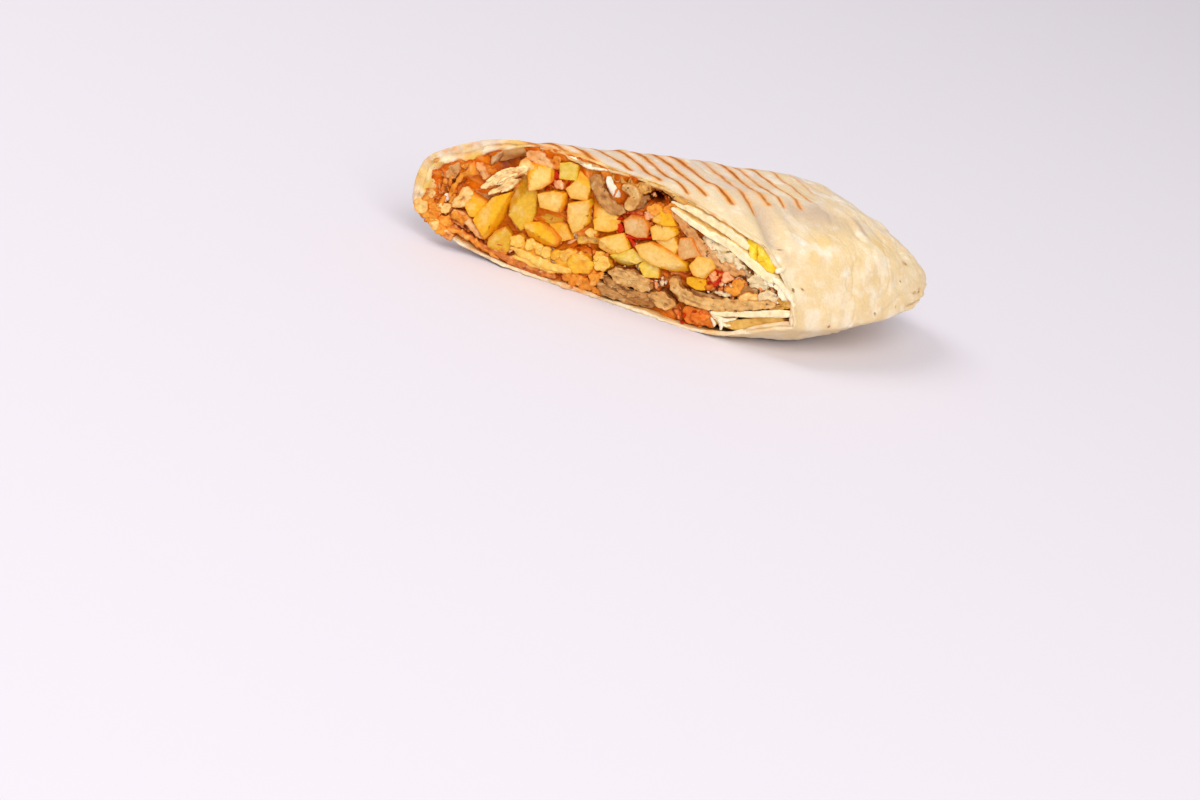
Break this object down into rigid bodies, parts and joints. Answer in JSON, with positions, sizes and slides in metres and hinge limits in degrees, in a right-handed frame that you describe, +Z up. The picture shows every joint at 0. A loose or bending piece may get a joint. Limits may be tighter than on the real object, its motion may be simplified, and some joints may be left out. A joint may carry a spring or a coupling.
{
  "type": "kebab wrap",
  "caption": "Half of a grilled flatbread wrap cut on the slant, its open face showing meat, fries, cheese and sauces.",
  "frame": {"origin": "middle of the bounding box at the underside, where the wrap lies on a plate or table", "axes": "+X along the wrap from the cut to the closed end, +Y from the wrap's front edge to its back edge, +Z up"},
  "size_m": [0.2008, 0.087, 0.0505],
  "materials": {
    "bread": "matt",
    "grill_marks": "matt",
    "doner_meat": "moist",
    "chicken": "moist",
    "spiced_chicken": "moist",
    "fries": "satin",
    "melted_cheese": "glossy",
    "white_curd": "moist",
    "yellow_cheese": "glossy",
    "pepper_sauce": "wet",
    "white_sauce": "wet"
  },
  "bodies": {
    "root": {"bread": "bread", "doner_slice": "doner_meat", "doner_side": "doner_meat", "doner_curl": "doner_meat", "doner_top": "doner_meat", "doner_base": "doner_meat", "doner_strip": "doner_meat", "chicken_strip": "chicken", "chicken_sliver": "chicken", "chicken_crumb": "spiced_chicken", "chicken_rough": "spiced_chicken", "chicken_low": "spiced_chicken", "chicken_top": "chicken", "cheese_layer": "melted_cheese", "chicken_bits": "spiced_chicken", "pepper_bits": "pepper_sauce", "chicken_lumps": "spiced_chicken", "curd_side": "white_curd", "curd_corner": "white_curd", "cheese_corner": "yellow_cheese", "fries": "fries"}
  },
  "joints": []
}
